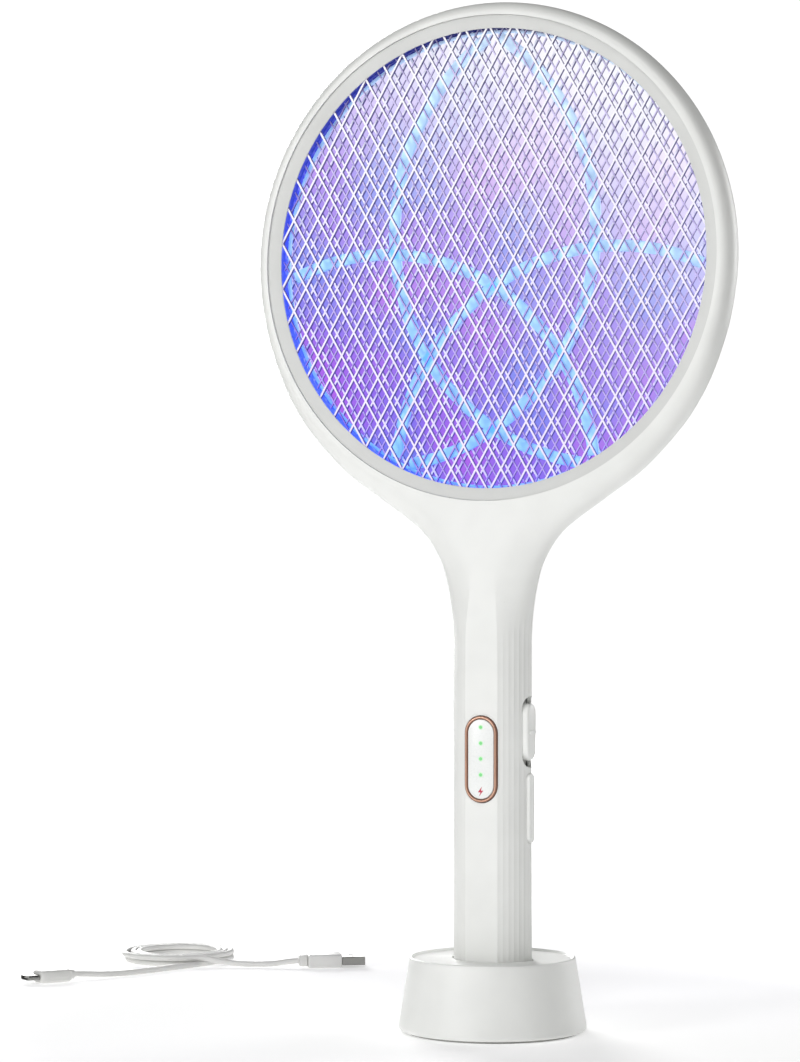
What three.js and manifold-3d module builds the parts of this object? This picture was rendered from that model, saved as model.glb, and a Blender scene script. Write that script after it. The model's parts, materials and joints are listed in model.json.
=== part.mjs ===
// A cordless electric fly swatter standing in its charging dock, with its loose USB charging cable.
// Millimetres, +Z up. The origin is the centre of the dock's footprint on the table. The front faces -Y.
import * as THREE from "three";
import { mergeVertices } from "three/addons/utils/BufferGeometryUtils.js";
import Module from "manifold-3d";

const wasm = await Module();
wasm.setup();

// ---------------------------------------------------------------- driving dimensions
const GAP = 0.3; // clearance between neighbouring pieces
const WALL = 1.8; // moulded wall of the swatter's shells
const FAR = 500; // beyond the whole object, for cuts that go right through

// Round head: its axis runs along Y
const HEAD_Z = 345.2;
const HEAD_R = 114.7;
const HEAD_HALF = 8.6; // half the head's thickness
const BEZEL_R = 108;
const OPENING_R = 102.6;
const RIM_R = BEZEL_R + GAP; // the shells' own edge round the bezel
const HEAD_SIDES = 32;
const FRAME_R = 106.8; // outside of the grids' frames
const FRAME_IN_R = 103.2;
const LIGHT_RING_R = 105.4;
const GRID_Y = 4; // outer grids, each side of the charged grid
const GRID_THICK = 1.6;
const CHARGED_THICK = 0.9;
const WIRE = 0.9;
const WIRE_SPACING = 31.3; // between neighbouring wires, square across them
const CHARGED_SHIFT = 5.2; // the charged grid's wires stand between the outer grids' wires
const WIRE_SLOPE = 60; // degrees from level
const RIB_WIDTH = 4.6;
const RIB_LOW = 0.8; // ribs and light rings fill the room between two grids
const RIB_HIGH = 2.9;

// Handle: flat front and back, joined round the sides by narrow facets that stand on two arcs
const GRIP_A = 18.9; // half-width in X
const GRIP_B = 13.1; // half-depth in Y
const FLAT_HALF = 7.7; // half the width of the flat front
const SIDE_ARC_R = 23;
const GRIP_BOTTOM = 12;
const FACET_TOP = 175; // the neck starts to flare here
const WIDE_FACET = 13; // half of the wide facet's share of the section's points, in degrees
const NARROW_FACET = 11;
const NECK = [
  // half-width, height
  [18.9, FACET_TOP],
  [19.5, 186],
  [21.4, 199],
  [25.1, 211],
  [34.4, 224],
  [53, 237.4],
  [71.8, 250.8],
  [89, 268.7],
  [98.1, 282],
  [103.6, 293],
  [107.6, 304.5],
  [110.5, 315],
];
const NECK_STEPS = NECK.length - 1;
const SHELL_SCREWS = [
  // x, z, back of the screw's head, tip
  [-40, 238, 6.9, -6],
  [40, 238, 6.9, -6],
  [-12.5, 194, 8.4, -7.3],
  [12.5, 194, 8.4, -7.3],
];
const SCREW_R = 1.25;
const SCREW_HEAD_R = 2.5;
const SCREW_HEAD = 1.7; // depth of the head
const BOSS_R = 3.4;

// Controls
const PANEL_Z = 122.2;
const PANEL_LENGTH = 39.4;
const PANEL_WIDTH = 16.3;
const LED_Z = [14.2, 7.1, 0.2, -6.9, -14.3]; // lamps, from the panel's middle
const SWITCH_Z = 134;
const SLOT_LENGTH = 32.2;
const SLOT_WIDTH = 10.2;
const KNOB_LENGTH = 25.3;
const BUTTON_Z = 100.2;
const BUTTON_LENGTH = 31;
const BUTTON_WIDTH = 5.8;
const BOARD_Y = -5; // front of the main board
const BOARD_THICK = 1.2;
const CELL_R = 9.2; // an 18650 cell in its sleeve
const LEAD_R = 0.7;
const LEAD_SIDES = 6;

// Dock
const DOCK_R = 42;
const DOCK_TOP_R = 37.1;
const DOCK_BOTTOM = 1;
const DOCK_HEIGHT = 33.5;
const DOCK_DECK = 32.4; // the recessed top inside the rim
const DOCK_WALL = 2;
const DOCK_CEILING = DOCK_DECK - DOCK_WALL;
const DOCK_SIDES = 32;
const SOCKET_CLEARANCE = 0.9;
const SOCKET_WALL = 1.5;
const SOCKET_FLOOR = 8.8;
const CAP_BOTTOM = 9.2;
const PLATE_TOP = 3.6;
const PIN_X = 7;
const PORT_Z = 13.7;
const DOCK_SCREW_R = 30; // the circle that the three screws stand on
const DOCK_SCREW_ANGLES = [20, 160, 270];

// Charging cable, laid out in its own group behind and to the left of the dock
const CABLE_TURN = 22.5; // degrees
const CABLE_D = 3;
const CABLE_SIDES = 8;
const COIL = { x: -164, y: 250, inner: 21, outer: 27, height: 6.2 };
const RUN_C = [
  // from the USB-C plug's collar to the coil
  [-209, 168, 3.2],
  [-202.4, 172.4, 2.6],
  [-195, 177.4, 1.9],
  [-187, 183.4, 1.6],
  [-178.6, 190.8, 1.6],
  [-170.4, 199.6, 1.6],
  [-162.4, 208.6, 1.6],
  [-154.6, 217.8, 1.6],
  [-153.5, 219.1, 1.6],
];
const RUN_A = [
  // from the coil to the USB-A plug's collar
  [-149.6, 223, 4.2],
  [-141, 222.6, 3],
  [-132, 221.8, 2],
  [-123, 221, 1.7],
  [-114, 220.8, 2],
  [-106, 221.4, 2.9],
  [-100, 222.4, 3.5],
];
const PLUG_C = { x: -209, y: 168, z: 3.2, heading: 214 };
const PLUG_A = { x: -100, y: 222.4, z: 3.5, heading: 9 };

// ---------------------------------------------------------------- materials
const paint = (color, roughness, metalness = 0) =>
  new THREE.MeshStandardMaterial({ color, roughness, metalness });
const white = paint(0xf0f1ee, 0.42);
const bezelGrey = paint(0xdfe0de, 0.5);
const wire = paint(0xd9d9e0, 0.3, 0.9);
const ribBlue = paint(0xb7e1fa, 0.4);
const diffuser = paint(0x6e82f0, 0.5);
const roseGold = paint(0xc59a86, 0.25, 0.9);
const steel = paint(0x9a9a98, 0.35, 0.9);
const gold = paint(0xd9b25a, 0.3, 0.9);
const boardGreen = paint(0x2f6b46, 0.6);
const black = paint(0x222224, 0.6);
const cellWrap = paint(0x3f7fc0, 0.5);
const copper = paint(0xb87333, 0.4, 0.8);
const lampYellow = paint(0xf2e9a0, 0.4);
const rubber = paint(0xb9b9b6, 0.9);
const redLead = paint(0xb03030, 0.6);

// ---------------------------------------------------------------- geometry helpers
const rad = THREE.MathUtils.degToRad;
const polar = (radius, degrees) => [radius * Math.cos(rad(degrees)), radius * Math.sin(rad(degrees))];

// A solid that can be joined and cut, from a closed geometry; it is turned right side out.
function solid(geometry) {
  const bare = geometry.clone();
  bare.deleteAttribute("normal");
  bare.deleteAttribute("uv");
  const merged = mergeVertices(bare, 1e-4);
  const vertProperties = new Float32Array(merged.attributes.position.array);
  const triVerts = new Uint32Array(merged.index.array);
  const make = () => new wasm.Manifold(new wasm.Mesh({ numProp: 3, vertProperties, triVerts }));
  const made = make();
  if (made.volume() >= 0) return made;
  triVerts.reverse();
  return make();
}

function geometryOf(made) {
  const mesh = made.getMesh();
  const geometry = new THREE.BufferGeometry();
  geometry.setAttribute("position", new THREE.BufferAttribute(new Float32Array(mesh.vertProperties), 3));
  geometry.setIndex(new THREE.BufferAttribute(new Uint32Array(mesh.triVerts), 1));
  geometry.computeVertexNormals();
  return geometry;
}

const union = (list) => list.reduce((all, next) => all.add(next));

function box(low, high) {
  const size = high.map((value, i) => value - low[i]);
  const middle = high.map((value, i) => (value + low[i]) / 2);
  return solid(new THREE.BoxGeometry(...size).translate(...middle));
}

// A round bar from one point to another.
function rod(radius, from, to, sides = 12) {
  const start = new THREE.Vector3(...from);
  const end = new THREE.Vector3(...to);
  const along = end.clone().sub(start);
  const up = new THREE.Vector3(0, 1, 0);
  const turn = new THREE.Quaternion().setFromUnitVectors(up, along.clone().normalize());
  const bar = new THREE.CylinderGeometry(radius, radius, along.length(), sides);
  const middle = start.add(end).multiplyScalar(0.5);
  return solid(bar.applyQuaternion(turn).translate(middle.x, middle.y, middle.z));
}

// A solid of revolution about Z, from [radius, height] points that start and end on the axis or close.
function turned(points, sides) {
  const profile = points.map(([r, h]) => new THREE.Vector2(r, h));
  return solid(new THREE.LatheGeometry(profile, sides).rotateX(rad(90)));
}

const close = (points) => [...points, points[0]];

function ringOnZ(inner, outer, low, high, sides = DOCK_SIDES) {
  const section = [
    [inner, low],
    [outer, low],
    [outer, high],
    [inner, high],
  ];
  return turned(close(section), sides);
}

// A solid of revolution about the head's axis; heights are measured along Y from the head's middle.
function turnedHead(points) {
  const profile = points.map(([r, y]) => new THREE.Vector2(r, y));
  return solid(new THREE.LatheGeometry(profile, HEAD_SIDES).translate(0, 0, HEAD_Z));
}

function ringOnHead(inner, outer, low, high) {
  const section = [
    [inner, low],
    [outer, low],
    [outer, high],
    [inner, high],
  ];
  return turnedHead(close(section));
}

// An outline with round ends, its length along Y, extruded along Z.
function pillGeometry(length, width, depth, arcs = 6) {
  const r = width / 2;
  const straight = length / 2 - r;
  const shape = new THREE.Shape();
  shape.absarc(0, straight, r, 0, Math.PI);
  shape.absarc(0, -straight, r, Math.PI, 2 * Math.PI);
  return new THREE.ExtrudeGeometry(shape, { depth, bevelEnabled: false, curveSegments: arcs });
}

// Upright pill on the handle's front, from y = front to y = back.
function pillFront(length, width, front, back, z) {
  return solid(pillGeometry(length, width, back - front).rotateX(rad(90)).translate(0, back, z));
}

// Upright pill on the handle's right side, from x = inside to x = outside.
function pillSide(length, width, inside, outside, z) {
  const block = pillGeometry(length, width, outside - inside);
  return solid(block.rotateX(rad(90)).rotateZ(rad(90)).translate(inside, 0, z));
}

// A closed skin over a stack of convex sections with equal numbers of points.
function loft(sections) {
  const count = sections[0].length;
  const positions = sections.flat().flatMap((p) => [p.x, p.y, p.z]);
  const faces = [];
  for (let level = 0; level + 1 < sections.length; level++)
    for (let i = 0; i < count; i++) {
      const a = level * count + i;
      const b = level * count + ((i + 1) % count);
      faces.push(a, b, b + count, a, b + count, a + count);
    }
  const top = (sections.length - 1) * count;
  for (let i = 1; i + 1 < count; i++) faces.push(0, i + 1, i, top, top + i, top + i + 1);
  const geometry = new THREE.BufferGeometry();
  geometry.setAttribute("position", new THREE.Float32BufferAttribute(positions, 3));
  geometry.setIndex(faces);
  return solid(geometry);
}

// A round lead or cord along a smooth curve through the given points.
function tube(points, radius, sides, step) {
  const path = new THREE.CatmullRomCurve3(points.map((p) => new THREE.Vector3(...p)));
  const section = new THREE.Shape();
  for (let i = 0; i < sides; i++) {
    const [x, y] = polar(radius, (360 * i) / sides);
    if (i === 0) section.moveTo(x, y);
    else section.lineTo(x, y);
  }
  const steps = Math.max(2, Math.round(path.getLength() / step));
  return solid(new THREE.ExtrudeGeometry(section, { steps, extrudePath: path, bevelEnabled: false }));
}

// ---------------------------------------------------------------- scene graph
const model = new THREE.Group();

function add(name, made, material, parent = model) {
  const mesh = new THREE.Mesh(geometryOf(made), material);
  mesh.name = name;
  parent.add(mesh);
  return mesh;
}

// ---------------------------------------------------------------- handle and neck outline
const facetAngles = [-90, 90].flatMap((side) =>
  Array.from({ length: 15 }, (_, k) => side + WIDE_FACET + k * NARROW_FACET),
);
const plainAngles = Array.from({ length: 24 }, (_, k) => k * 15);

// The arc from the flat front's edge to the handle's side: its centre and the directions it spans.
const chord = new THREE.Vector2(GRIP_A - FLAT_HALF, GRIP_B);
const chordNormal = Math.atan2(chord.y, chord.x);
const halfSpan = Math.asin(chord.length() / 2 / SIDE_ARC_R);
const arcCentre = [
  FLAT_HALF - SIDE_ARC_R * Math.sin(chordNormal - halfSpan),
  GRIP_B - SIDE_ARC_R * Math.cos(chordNormal - halfSpan),
];

// A point of the handle's section, as shares of its half-width and half-depth, 0 to 90 degrees off its front.
function gripPoint(offFront) {
  if (offFront <= WIDE_FACET) return [((offFront / WIDE_FACET) * FLAT_HALF) / GRIP_A, 1];
  const share = (offFront - WIDE_FACET) / (90 - WIDE_FACET);
  const turn = chordNormal + halfSpan * (2 * share - 1);
  const x = arcCentre[0] + SIDE_ARC_R * Math.sin(turn);
  const y = arcCentre[1] + SIDE_ARC_R * Math.cos(turn);
  return [x / GRIP_A, y / GRIP_B];
}

// One section of the body: the grip's own in the handle, a flat bar with round ends where it meets the head.
function bodySection(halfWidth, z, inset, angles) {
  const towardsHead = THREE.MathUtils.smoothstep(z, FACET_TOP, 235);
  const power = 2 / (2 + 5 * THREE.MathUtils.smoothstep(z, 190, 240));
  const round = THREE.MathUtils.smoothstep(z, FACET_TOP - 3, 215);
  const a = halfWidth - inset;
  const b = THREE.MathUtils.lerp(GRIP_B, HEAD_HALF, towardsHead) - inset;
  return angles.map((degrees) => {
    const c = Math.cos(rad(degrees));
    const s = Math.sin(rad(degrees));
    const [across, deep] = gripPoint(THREE.MathUtils.radToDeg(Math.acos(Math.min(1, Math.abs(s)))));
    const x = a * Math.sign(c) * THREE.MathUtils.lerp(across, Math.abs(c) ** power, round);
    const y = b * Math.sign(s) * THREE.MathUtils.lerp(deep, Math.abs(s) ** power, round);
    return new THREE.Vector3(x, y, z);
  });
}

function bodyLoft(inset, angles, bottom, steps) {
  const neck = new THREE.SplineCurve(NECK.map(([x, z]) => new THREE.Vector2(x, z)));
  const levels = [new THREE.Vector2(GRIP_A, bottom), ...neck.getPoints(steps)];
  return loft(levels.map((p) => bodySection(p.x, p.y, inset, angles)));
}

// ---------------------------------------------------------------- shells
// Round rim of the head: outer radius and half-thickness fall away together towards the outside.
const rimCurve = [
  [RIM_R - 3, HEAD_HALF],
  [RIM_R + 1.4, HEAD_HALF],
  [RIM_R + 4, HEAD_HALF - 1.8],
  [HEAD_R - 0.6, HEAD_HALF - 4.6],
  [HEAD_R, HEAD_HALF - 6],
];

function rimRing(inset) {
  const half = rimCurve.map(([r, y], i) => [i === 0 ? r : r - inset, y - inset]);
  const front = half.map(([r, y]) => [r, -y]);
  return turnedHead(close([...front, ...half.reverse()]));
}

function screwBosses(outside) {
  const bosses = SHELL_SCREWS.map(([x, z]) => rod(BOSS_R, [x, -FAR, z], [x, FAR, z], 8));
  return union(bosses).intersect(outside);
}

function shellHoles() {
  const holes = SHELL_SCREWS.flatMap(([x, z, back, tip]) => [
    rod(SCREW_R + 0.35, [x, tip - 0.5, z], [x, FAR, z], 8),
    rod(SCREW_HEAD_R + 0.4, [x, back - SCREW_HEAD - GAP, z], [x, FAR, z], 8),
  ]);
  const panel = pillFront(PANEL_LENGTH - 0.4, PANEL_WIDTH - 0.4, -20, -8, PANEL_Z);
  const slot = pillSide(SLOT_LENGTH, SLOT_WIDTH, 12, 25, SWITCH_Z);
  const button = pillSide(BUTTON_LENGTH + 0.6, BUTTON_WIDTH + 0.6, 12, 25, BUTTON_Z);
  return union([...holes, panel, slot, button]);
}

function makeShells() {
  const outside = bodyLoft(0, facetAngles, GRIP_BOTTOM, NECK_STEPS).add(rimRing(0));
  const inside = bodyLoft(WALL, plainAngles, GRIP_BOTTOM - 5, 7).add(rimRing(WALL - 0.2));
  const bore = rod(RIM_R, [0, -FAR, HEAD_Z], [0, FAR, HEAD_Z], HEAD_SIDES);
  const cuts = bore.add(shellHoles());
  const body = outside.subtract(inside).add(screwBosses(outside)).subtract(cuts);
  add("front_shell", body.intersect(box([-FAR, -FAR, 0], [FAR, -GAP / 2, FAR])), white);
  add("rear_shell", body.intersect(box([-FAR, GAP / 2, 0], [FAR, FAR, FAR])), white);
  SHELL_SCREWS.forEach(([x, z, back, tip], i) => {
    const head = rod(SCREW_HEAD_R, [x, back - SCREW_HEAD, z], [x, back, z], 8);
    const shank = rod(SCREW_R, [x, tip, z], [x, back - 1, z], 8);
    add(`shell_screw_${i + 1}`, head.add(shank), steel);
  });
}

// ---------------------------------------------------------------- head: bezels, grids, ribs, light rings
// A frame with two families of flat wires; "shift" moves the lattice sideways, square across its wires.
function gridSolid(y, thick, shift) {
  const pieces = [ringOnHead(FRAME_IN_R, FRAME_R, y - thick / 2, y + thick / 2)];
  const reach = Math.floor(FRAME_IN_R / WIRE_SPACING);
  for (const side of [-1, 1])
    for (let k = -reach; k <= reach; k++) {
      const across = k * WIRE_SPACING + side * shift;
      const half = Math.sqrt(((FRAME_IN_R + FRAME_R) / 2) ** 2 - across ** 2);
      const bar = new THREE.BoxGeometry(2 * half, thick, WIRE).translate(0, 0, across);
      bar.rotateY(rad(side * WIRE_SLOPE)).translate(0, y, HEAD_Z);
      pieces.push(solid(bar));
    }
  return union(pieces);
}

// A flat rib along the arc through three points, given as shares of the opening's radius.
function ribSolid(start, middle, end, low, high) {
  const [a, b, c] = [start, middle, end].map(([x, z]) => new THREE.Vector2(x, z).multiplyScalar(OPENING_R));
  const d = 2 * (a.x * (b.y - c.y) + b.x * (c.y - a.y) + c.x * (a.y - b.y));
  const [aa, bb, cc] = [a, b, c].map((p) => p.lengthSq());
  const cx = (aa * (b.y - c.y) + bb * (c.y - a.y) + cc * (a.y - b.y)) / d;
  const cy = (aa * (c.x - b.x) + bb * (a.x - c.x) + cc * (b.x - a.x)) / d;
  const centre = new THREE.Vector2(cx, cy);
  const r = centre.distanceTo(a);
  const [from, to] = [a, c].map((p) => p.clone().sub(centre).angle());
  const through = b.clone().sub(centre).angle();
  const span = (angle) => (angle - from + 2 * Math.PI) % (2 * Math.PI);
  const clockwise = span(through) > span(to);
  const shape = new THREE.Shape();
  shape.absarc(cx, cy, r + RIB_WIDTH / 2, from, to, clockwise);
  shape.absarc(cx, cy, r - RIB_WIDTH / 2, to, from, !clockwise);
  const rib = new THREE.ExtrudeGeometry(shape, { depth: high - low, bevelEnabled: false, curveSegments: 8 });
  return solid(rib.rotateX(rad(90)).translate(0, high, HEAD_Z));
}

function makeRibs() {
  const arcs = [
    [[-0.03, 0.985], [-0.473, 0.07], [0.4, -0.905]],
    [[-0.96, -0.05], [0.054, -0.154], [0.465, -0.87]],
  ];
  const flip = ([x, z]) => [-x, z];
  const pairs = arcs.flatMap((arc) => [arc, arc.map(flip)]);
  const ribs = pairs.map((arc) => ribSolid(...arc, RIB_LOW, RIB_HIGH));
  const rim = ringOnHead(OPENING_R - 4, OPENING_R, RIB_LOW, RIB_HIGH);
  const inside = rod(OPENING_R - 0.5, [0, 0, HEAD_Z], [0, 9, HEAD_Z], HEAD_SIDES);
  add("rib_frame", union(ribs).intersect(inside).add(rim), ribBlue);
}

function makeHead() {
  // Bezel section: its visible face slopes inwards to the opening.
  const bezel = [
    [OPENING_R, GRID_Y + GRID_THICK / 2 + GAP],
    [BEZEL_R, GRID_Y + GRID_THICK / 2 + GAP],
    [BEZEL_R, HEAD_HALF - 0.9],
    [OPENING_R, HEAD_HALF - 2.9],
  ];
  add("front_bezel", turnedHead(close(bezel.map(([r, y]) => [r, -y]))), bezelGrey);
  add("rear_bezel", turnedHead(close(bezel)), bezelGrey);
  add("front_grid", gridSolid(-GRID_Y, GRID_THICK, 0), wire);
  add("charged_grid", gridSolid(0, CHARGED_THICK, CHARGED_SHIFT), wire);
  add("rear_grid", gridSolid(GRID_Y, GRID_THICK, 0), wire);
  add("light_ring_front", ringOnHead(FRAME_IN_R, LIGHT_RING_R, -RIB_HIGH, -RIB_LOW), diffuser);
  add("light_ring_rear", ringOnHead(FRAME_IN_R, LIGHT_RING_R, RIB_LOW, RIB_HIGH), diffuser);
  makeRibs();
}

function makeLampBoard() {
  const top = 233.2;
  add("uv_lamp_board", box([-14, -5, top - 1.2], [14, 5, top]), boardGreen);
  [-9, 0, 9].forEach((x, i) => {
    const low = [x - 1.75, -1.4, top + GAP];
    const high = [x + 1.75, 1.4, top + GAP + 1.3];
    add(`uv_led_${i + 1}`, box(low, high), lampYellow);
  });
}

// ---------------------------------------------------------------- handle: controls and electronics
function makePanel() {
  const outer = pillFront(PANEL_LENGTH - 1, PANEL_WIDTH - 1, -14.2, -11.2, PANEL_Z);
  const inner = pillFront(PANEL_LENGTH - 3.7, PANEL_WIDTH - 3.7, -15, -10, PANEL_Z);
  add("indicator_trim", outer.subtract(inner), roseGold);
  const window = pillFront(PANEL_LENGTH - 4.3, PANEL_WIDTH - 4.3, -13.8, -11.6, PANEL_Z);
  add("indicator_window", window, white);
  const plate = pillFront(34, 7, -11.1, -10.4, PANEL_Z);
  const pipes = LED_Z.map((z) => rod(1.2, [0, -10.8, PANEL_Z + z], [0, BOARD_Y - 1.4, PANEL_Z + z], 8));
  add("light_guide", union([plate, ...pipes]), lampYellow);
}

function makeSlideSwitch() {
  const travel = 4.7; // half-length of the slits that the knob's peg runs in
  const pocket = box([11.8, -1.3, SWITCH_Z - travel], [14, 1.3, SWITCH_Z + travel]);
  const body = box([9.3, BOARD_Y + 1.5, SWITCH_Z - 6.5], [12.8, 3.1, SWITCH_Z + 6.5]);
  add("slide_switch", body.subtract(pocket), steel);
  const backing = box([13.1, -5.1, SWITCH_Z - 17], [14, 5.1, SWITCH_Z + 17]);
  const slit = box([13, -1.3, SWITCH_Z - travel], [16, 1.3, SWITCH_Z + travel]);
  add("switch_surround", backing.subtract(slit), white);
  const cap = pillSide(KNOB_LENGTH, SLOT_WIDTH - 0.6, 15.3, 19.2, SWITCH_Z);
  const ridge = box([18.9, -3.4, SWITCH_Z - 0.8], [19.7, 3.4, SWITCH_Z + 0.8]);
  const peg = box([12.1, -1, SWITCH_Z - 1], [15.6, 1, SWITCH_Z + 1]);
  add("slide_knob", union([cap, ridge, peg]), white);
}

function makeZapButton() {
  const flange = box([14.4, -3.4, BUTTON_Z - 16.2], [15.2, 3.4, BUTTON_Z + 16.2]);
  const cap = pillSide(BUTTON_LENGTH, BUTTON_WIDTH, 14.9, 19.4, BUTTON_Z);
  add("zap_button", flange.add(cap), white);
  const body = box([9.3, BOARD_Y + 1.5, BUTTON_Z - 3.1], [12, 3.1, BUTTON_Z + 3.1]);
  add("tact_switch", body.subtract(rod(1.65, [10.2, 0, BUTTON_Z], [13, 0, BUTTON_Z], 10)), black);
  add("tact_plunger", rod(1.3, [11.3, 0, BUTTON_Z], [14.1, 0, BUTTON_Z], 10), black);
}

function makeElectronics() {
  const back = BOARD_Y + BOARD_THICK;
  const lamp = (z) => box([-0.8, BOARD_Y - 0.9, z - 0.5], [0.8, BOARD_Y + 0.3, z + 0.5]);
  const lamps = LED_Z.map((z) => lamp(PANEL_Z + z));
  add("main_board", union([box([-14, BOARD_Y, 84], [9, back, 174]), ...lamps]), boardGreen);
  const bobbin = box([-11, back + GAP, 146], [3, back + 3, 164]);
  const core = box([-9, back + 2.9, 148.5], [1, 8, 161.5]);
  add("step_up_transformer", bobbin.add(core), cellWrap);
  add("high_voltage_capacitor", box([-11, back + GAP, 112], [4, 5.2, 124]), redLead);
  const can = rod(CELL_R, [0, 0, 17], [0, 0, 82], 20);
  add("battery_cell", can.add(rod(2.8, [0, 0, 81], [0, 0, 83], 12)), cellWrap);
}

function makeLeads() {
  const start = BOARD_Y + BOARD_THICK / 2;
  const charged = [
    [6, start, 174.9],
    [6.5, 0.5, 190],
    [9, 3.5, 208],
    [16, 2, 226],
    [19, 0, 239.2],
  ];
  const ground = [
    [-6, start, 174.9],
    [-6.5, -2.5, 190],
    [-9, -4, 208],
    [-16, -4.4, 226],
    [-19, -GRID_Y, 239.2],
  ];
  const lamp = [
    [0, start, 174.9],
    [0, -1, 190],
    [0, 1.5, 212],
    [0, 0, 231.4],
  ];
  add("charged_grid_lead", tube(charged, LEAD_R, LEAD_SIDES, 8), redLead);
  add("outer_grid_lead", tube(ground, LEAD_R, LEAD_SIDES, 8), black);
  add("lamp_lead", tube(lamp, LEAD_R, LEAD_SIDES, 8), copper);
}

// An oval slab like the handle's own section, grown or shrunk by an offset.
function ovalSlab(grow, low, high, angles = facetAngles) {
  return loft([low, high].map((z) => bodySection(GRIP_A, z, -grow, angles)));
}

function makeEndCap() {
  const rim = ovalSlab(0, CAP_BOTTOM, GRIP_BOTTOM - GAP);
  const plug = ovalSlab(-WALL - GAP, GRIP_BOTTOM - 1, 15.5, plainAngles);
  const hollow = ovalSlab(-WALL - 2.5, GRIP_BOTTOM + 0.5, 17, plainAngles);
  const pockets = [-PIN_X, PIN_X].map((x) => box([x - 3.3, -2.3, 8], [x + 3.3, 2.3, 10.6]));
  add("end_cap", rim.add(plug).subtract(union([hollow, ...pockets])), white);
  add("contact_pad_left", box([-PIN_X - 3, -2, CAP_BOTTOM], [-PIN_X + 3, 2, 10.3]), gold);
  add("contact_pad_right", box([PIN_X - 3, -2, CAP_BOTTOM], [PIN_X + 3, 2, 10.3]), gold);
}

// ---------------------------------------------------------------- dock
const dockSpots = DOCK_SCREW_ANGLES.map((degrees) => polar(DOCK_SCREW_R, degrees));

function stadiumAlongY(width, height, from, to, z) {
  const slab = pillGeometry(width, height, to - from).rotateZ(rad(90)).rotateX(rad(90));
  return solid(slab.translate(0, to, z));
}

function makeDockShell() {
  const outside = turned(
    [
      [0, DOCK_BOTTOM],
      [DOCK_R - 1, DOCK_BOTTOM],
      [DOCK_R, DOCK_BOTTOM + 1.4],
      [DOCK_TOP_R, DOCK_HEIGHT - 0.6],
      [DOCK_TOP_R - 0.6, DOCK_HEIGHT],
      [DOCK_TOP_R - 1.3, DOCK_HEIGHT],
      [DOCK_TOP_R - 1.6, DOCK_DECK],
      [0, DOCK_DECK],
    ],
    DOCK_SIDES,
  );
  const inside = turned(
    [
      [0, 0],
      [DOCK_R - DOCK_WALL, 0],
      [DOCK_TOP_R - DOCK_WALL, DOCK_CEILING],
      [0, DOCK_CEILING],
    ],
    DOCK_SIDES,
  );
  const bosses = union(dockSpots.map(([x, y]) => rod(3.2, [x, y, 9.3], [x, y, DOCK_DECK - 1], 8)));
  const bores = union(dockSpots.map(([x, y]) => rod(1.7, [x, y, 5], [x, y, 18], 8)));
  const mouth = ovalSlab(SOCKET_CLEARANCE, 25, 40);
  const cuts = union([bores, mouth, stadiumAlongY(9.8, 4.1, 35, 45, PORT_Z)]);
  add("dock_shell", outside.subtract(inside).add(bosses).subtract(cuts), white);
}

function makeDockSocket() {
  const cup = ovalSlab(SOCKET_CLEARANCE + SOCKET_WALL, SOCKET_FLOOR - 1.3, DOCK_CEILING - GAP);
  const well = ovalSlab(SOCKET_CLEARANCE, SOCKET_FLOOR, 40);
  const pinHoles = [-PIN_X, PIN_X].map((x) => rod(1.3, [x, 0, 5], [x, 0, 12], 8));
  add("dock_socket", cup.subtract(union([well, ...pinHoles])), white);
}

function makeDockBase() {
  const plate = turned([[0, 1.3], [39.4, 1.3], [39.4, PLATE_TOP], [0, PLATE_TOP]], DOCK_SIDES);
  const plateHoles = dockSpots.flatMap(([x, y]) => [
    rod(1.8, [x, y, 0], [x, y, 5], 8),
    rod(2.9, [x, y, 0], [x, y, 2.7], 8),
  ]);
  add("dock_base_plate", plate.subtract(union(plateHoles)), white);
  add("dock_foot_ring", ringOnZ(33.4, 38.6, 0, 1), rubber);
  const ballastHoles = dockSpots.map(([x, y]) => rod(1.9, [x, y, 0], [x, y, 12], 8));
  add("dock_ballast", ringOnZ(24, 36.8, PLATE_TOP + GAP, 9, 32).subtract(union(ballastHoles)), steel);
  dockSpots.forEach(([x, y], i) => {
    const screw = rod(2.6, [x, y, 1.3], [x, y, 2.4], 8).add(rod(1.4, [x, y, 2.2], [x, y, 16], 8));
    add(`dock_screw_${i + 1}`, screw, steel);
  });
}

function makeDockElectronics() {
  add("dock_board", box([-11, 18.8, 10.5], [11, 36.2, 11.7]), boardGreen);
  const shell = stadiumAlongY(9, 3.2, 31, 39.6, PORT_Z);
  add("usb_c_port", shell.subtract(stadiumAlongY(8.3, 2.5, 32, 41, PORT_Z)), steel);
  const block = box([-11, -4, PLATE_TOP + GAP], [11, 4, SOCKET_FLOOR - 1.6]);
  const bores = [-PIN_X, PIN_X].map((x) => rod(1.2, [x, 0, 4.2], [x, 0, 9], 8));
  add("contact_block", block.subtract(union(bores)), black);
  add("contact_pin_left", rod(0.9, [-PIN_X, 0, 5.2], [-PIN_X, 0, CAP_BOTTOM - GAP], 8), gold);
  add("contact_pin_right", rod(0.9, [PIN_X, 0, 5.2], [PIN_X, 0, CAP_BOTTOM - GAP], 8), gold);
}

// ---------------------------------------------------------------- charging cable
// Plug pieces are made along +X from the cord's end, then turned and placed by a group.
function plugGroup(place, parent) {
  const group = new THREE.Group();
  group.position.set(place.x, place.y, place.z);
  group.rotation.z = rad(place.heading);
  parent.add(group);
  return group;
}

// A bar along X whose section has round ends.
function flatBar(width, height, from, to) {
  const slab = pillGeometry(width, height, to - from).rotateY(rad(90));
  return solid(slab.translate(from, 0, 0));
}

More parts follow.
